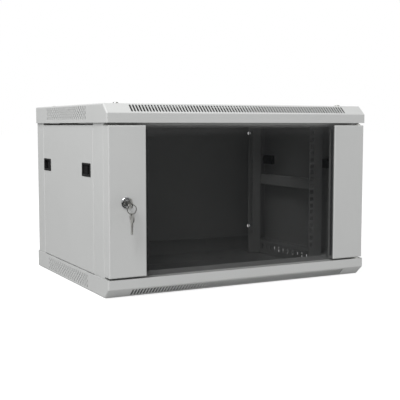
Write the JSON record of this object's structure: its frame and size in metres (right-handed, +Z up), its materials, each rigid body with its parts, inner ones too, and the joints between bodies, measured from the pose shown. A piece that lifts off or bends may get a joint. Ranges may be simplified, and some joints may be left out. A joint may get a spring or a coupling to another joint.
{
  "type": "wall mount network cabinet",
  "caption": "Wall mounted 19-inch network cabinet: folded sheet steel covers, framed glass door with cam lock, lift-off side panels, slotted depth brackets and square-hole rack rails.",
  "frame": {"origin": "middle of the four wall bolt holes, on the back plane of the cabinet", "axes": "+X to the right as seen from the door, +Y into the wall, +Z up; the door faces -Y"},
  "size_m": [0.6, 0.4845, 0.373],
  "materials": {
    "light_grey_powder_coat": "fine textured powder coat, semi-matt",
    "zinc_plated_steel": "bright zinc plating",
    "latch_plastic": "fine spark-eroded texture",
    "smoked_glass": "toughened, polished, tinted grey",
    "foam_tape": "black foam",
    "nylon": "moulded natural nylon",
    "lock_chrome": "polished chrome plating",
    "nickel_plated_key": "satin nickel plating"
  },
  "bodies": {
    "frame": {"bottom_cable_plate": "light_grey_powder_coat", "bottom_cover": "light_grey_powder_coat", "bottom_cover_screws": "zinc_plated_steel", "bracket_screws": "zinc_plated_steel", "cable_plate_screws": "zinc_plated_steel", "crossbar_screws": "zinc_plated_steel", "depth_brace_left": "light_grey_powder_coat", "depth_brace_right": "light_grey_powder_coat", "depth_bracket_bottom_left": "light_grey_powder_coat", "depth_bracket_bottom_right": "light_grey_powder_coat", "depth_bracket_top_left": "light_grey_powder_coat", "depth_bracket_top_right": "light_grey_powder_coat", "front_crossbar_bottom": "light_grey_powder_coat", "front_crossbar_top": "light_grey_powder_coat", "front_post_left": "light_grey_powder_coat", "front_post_right": "light_grey_powder_coat", "hinge_washer_bottom": "nylon", "rail_front_left": "light_grey_powder_coat", "rail_front_right": "light_grey_powder_coat", "rail_rear_left": "light_grey_powder_coat", "rail_rear_right": "light_grey_powder_coat", "rail_screws": "zinc_plated_steel", "rear_panel": "light_grey_powder_coat", "top_cable_plate": "light_grey_powder_coat", "top_cover": "light_grey_powder_coat", "top_cover_screws": "zinc_plated_steel"},
    "door": {"door_strip_left": "light_grey_powder_coat", "door_strip_right": "light_grey_powder_coat", "door_glass": "smoked_glass", "glass_ledge_left": "light_grey_powder_coat", "glass_ledge_right": "light_grey_powder_coat", "glass_tape_left": "foam_tape", "glass_tape_right": "foam_tape", "hinge_pin_bottom": "zinc_plated_steel", "hinge_washer_top": "nylon", "hinge_pin_guide": "zinc_plated_steel", "hinge_spring": "zinc_plated_steel", "lock_body": "lock_chrome", "lock_nut": "zinc_plated_steel"},
    "hinge_bolt": {"hinge_pin_top": "zinc_plated_steel"},
    "lock_core": {"lock_plug": "lock_chrome", "lock_cam": "zinc_plated_steel", "lock_cam_screw": "zinc_plated_steel"},
    "key": {"lock_key": "nickel_plated_key"},
    "ring": {"key_ring": "nickel_plated_key"},
    "second_key": {"spare_key": "nickel_plated_key"},
    "panel_left": {"side_panel_left": "light_grey_powder_coat", "latch_housing_left_front": "latch_plastic", "latch_housing_left_rear": "latch_plastic"},
    "slider_left_front": {"latch_slider_left_front": "latch_plastic"},
    "slider_left_rear": {"latch_slider_left_rear": "latch_plastic"},
    "panel_right": {"side_panel_right": "light_grey_powder_coat", "latch_housing_right_front": "latch_plastic", "latch_housing_right_rear": "latch_plastic"},
    "slider_right_front": {"latch_slider_right_front": "latch_plastic"},
    "slider_right_rear": {"latch_slider_right_rear": "latch_plastic"}
  },
  "joints": [
    {"name": "door_hinge", "type": "hinge", "parent": "frame", "child": "door", "pos_m": [0.286, -0.442, 0], "axis": [0, 0, 1], "range_deg": [0, 120]},
    {"name": "hinge_pin_release", "type": "slide", "parent": "door", "child": "hinge_bolt", "axis": [0, 0, -1], "range_m": [0, 0.008], "stiffness_N_per_m": 400, "springref_m": -0.006, "deforming": ["hinge_spring"]},
    {"name": "lock_turn", "type": "hinge", "parent": "door", "child": "lock_core", "pos_m": [-0.2612, -0.45, -0.002], "axis": [0, 1, 0], "range_deg": [0, 90]},
    {"name": "key_slide", "type": "slide", "parent": "lock_core", "child": "key", "axis": [0, -1, 0], "range_m": [0, 0.02]},
    {"name": "ring_swing", "type": "hinge", "parent": "key", "child": "ring", "pos_m": [-0.2612, -0.4745, -0.0033], "axis": [1, 0, 0], "range_deg": [-45, 10]},
    {"name": "second_key_swing", "type": "hinge", "parent": "ring", "child": "second_key", "pos_m": [-0.2612, -0.4745, -0.0213], "axis": [1, 0, 0], "range_deg": [-45, 15]},
    {"name": "panel_left_tilt", "type": "hinge", "parent": "frame", "child": "panel_left", "pos_m": [-0.297, -0.2, -0.1495], "axis": [0, -1, 0], "range_deg": [0, 20]},
    {"name": "latch_left_front_slide", "type": "slide", "parent": "panel_left", "child": "slider_left_front", "axis": [0, -1, 0], "range_m": [0, 0.008]},
    {"name": "latch_left_rear_slide", "type": "slide", "parent": "panel_left", "child": "slider_left_rear", "axis": [0, 1, 0], "range_m": [0, 0.008]},
    {"name": "panel_right_tilt", "type": "hinge", "parent": "frame", "child": "panel_right", "pos_m": [0.297, -0.2, -0.1495], "axis": [0, 1, 0], "range_deg": [0, 20]},
    {"name": "latch_right_front_slide", "type": "slide", "parent": "panel_right", "child": "slider_right_front", "axis": [0, -1, 0], "range_m": [0, 0.008]},
    {"name": "latch_right_rear_slide", "type": "slide", "parent": "panel_right", "child": "slider_right_rear", "axis": [0, 1, 0], "range_m": [0, 0.008]}
  ]
}
